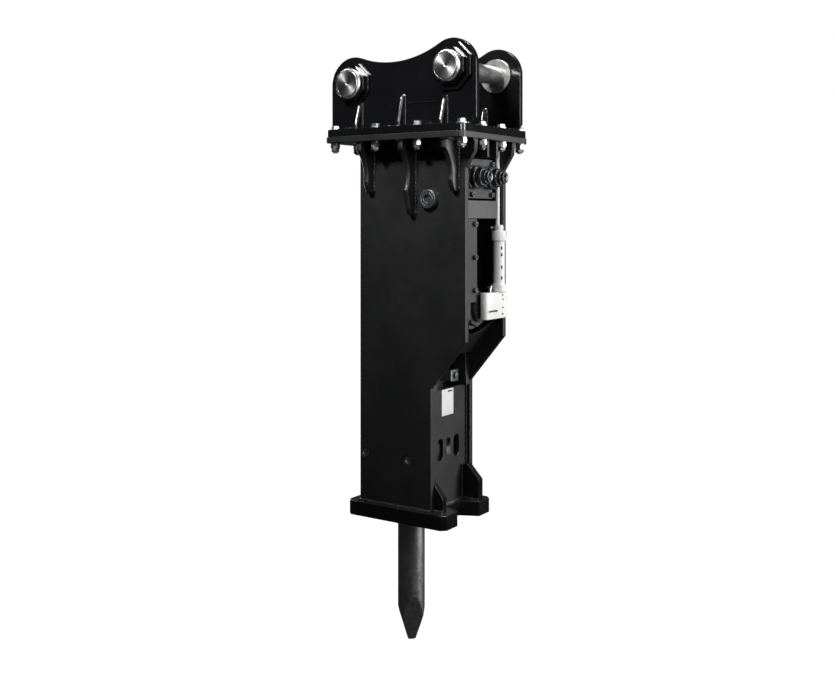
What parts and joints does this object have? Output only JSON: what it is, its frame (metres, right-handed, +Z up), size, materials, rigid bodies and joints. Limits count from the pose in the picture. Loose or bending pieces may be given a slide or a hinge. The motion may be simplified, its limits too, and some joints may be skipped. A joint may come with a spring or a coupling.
{
  "type": "hydraulic breaker hammer",
  "caption": "Hydraulic breaker hammer: pin-on top bracket with two pins, bolted to a box housing with power cell, hose ports, automatic lubricator and a sliding moil point.",
  "frame": {"origin": "centre of the stick pin, the upper pin of the top bracket, from which the tool hangs", "axes": "+Z up along the tool axis, +Y along the two bracket pins, +X towards the hose ports and the lubricator"},
  "size_m": [0.749, 0.574, 2.628],
  "materials": {
    "gloss_black": "gloss black paint",
    "bare_steel": "turned bright steel",
    "dark_steel": "blackened steel",
    "zinc_steel": "zinc plated",
    "satin_black": "satin black paint",
    "grey_paint": "satin grey paint",
    "label_white": "blank label plate",
    "damper_rubber": "moulded elastomer",
    "guide_plastic": "cast nylon",
    "cell_paint": "satin dark grey paint",
    "seal_bronze": "machined bronze",
    "ground_steel": "ground hardened steel",
    "tool_steel": "forged dark steel",
    "port_steel": "phosphated steel",
    "white_plastic": "white moulded plastic",
    "follower_rubber": "moulded rubber"
  },
  "bodies": {
    "housing": {"bracket_flange": "gloss_black", "ear_plate_right": "gloss_black", "ear_plate_left": "gloss_black", "ear_doublers": "gloss_black", "pin_collars": "gloss_black", "ear_inner_bosses": "bare_steel", "bracket_gussets": "gloss_black", "pin_lock_screws": "dark_steel", "flange_bolts": "zinc_steel", "flange_washers": "zinc_steel", "flange_nuts": "zinc_steel", "flange_lock_nuts": "dark_steel", "housing_flange": "satin_black", "side_plate_right": "satin_black", "side_plate_left": "satin_black", "back_plate": "satin_black", "flange_ribs": "satin_black", "cross_plate": "grey_paint", "front_strip": "satin_black", "housing_plugs": "dark_steel", "upper_front_plate": "satin_black", "slanted_front_plate": "satin_black", "lower_front_plate": "satin_black", "base_plate": "satin_black", "base_gussets": "satin_black", "rating_plate": "label_white", "side_buffer_plugs": "satin_black", "cell_dampers": "damper_rubber", "side_guides": "guide_plastic", "back_head": "cell_paint", "cylinder": "cell_paint", "front_head": "cell_paint", "tie_rods": "dark_steel", "tie_rod_nuts": "dark_steel", "seal_carrier": "seal_bronze", "upper_bush": "seal_bronze", "lower_bush": "ground_steel", "retainer_stop_pin": "tool_steel", "valve_block": "cell_paint", "valve_cap": "cell_paint", "accumulator_base": "cell_paint", "accumulator_cover": "cell_paint", "accumulator_screws": "dark_steel", "port_adapter_pressure": "port_steel", "port_adapter_return": "port_steel", "port_flange_screws": "dark_steel", "lubricator_tube": "white_plastic", "lubricator_caps": "white_plastic", "lubricator_pump": "white_plastic", "lubricator_bracket": "satin_black", "lube_line": "white_plastic"},
    "stick_pin": {"stick_pin": "bare_steel"},
    "link_pin": {"link_pin": "bare_steel"},
    "tool": {"tool": "tool_steel"},
    "piston": {"piston": "ground_steel"},
    "retainer_right": {"retainer_pin_right": "tool_steel"},
    "retainer_left": {"retainer_pin_left": "tool_steel"},
    "spool": {"valve_spool": "ground_steel"},
    "follower": {"lubricator_follower": "follower_rubber"},
    "plunger": {"lubricator_plunger": "ground_steel"}
  },
  "joints": [
    {"name": "stick_pin_draw", "type": "slide", "parent": "housing", "child": "stick_pin", "axis": [0, -1, 0], "range_m": [0, 0.5]},
    {"name": "link_pin_draw", "type": "slide", "parent": "housing", "child": "link_pin", "axis": [0, -1, 0], "range_m": [0, 0.5]},
    {"name": "tool_slide", "type": "slide", "parent": "housing", "child": "tool", "axis": [0, 0, 1], "range_m": [0, 0.05]},
    {"name": "piston_stroke", "type": "slide", "parent": "housing", "child": "piston", "axis": [0, 0, 1], "range_m": [0, 0.09]},
    {"name": "retainer_right_draw", "type": "slide", "parent": "housing", "child": "retainer_right", "axis": [1, 0, 0], "range_m": [0, 0.32]},
    {"name": "retainer_left_draw", "type": "slide", "parent": "housing", "child": "retainer_left", "axis": [1, 0, 0], "range_m": [0, 0.32]},
    {"name": "spool_shift", "type": "slide", "parent": "housing", "child": "spool", "axis": [0, 0, 1], "range_m": [0, 0.012]},
    {"name": "follower_travel", "type": "slide", "parent": "housing", "child": "follower", "axis": [0, 0, -1], "range_m": [0, 0.13]},
    {"name": "plunger_push", "type": "slide", "parent": "housing", "child": "plunger", "axis": [0, 0, -1], "range_m": [0, 0.012], "stiffness_N_per_m": 500, "springref_m": -0.01}
  ]
}
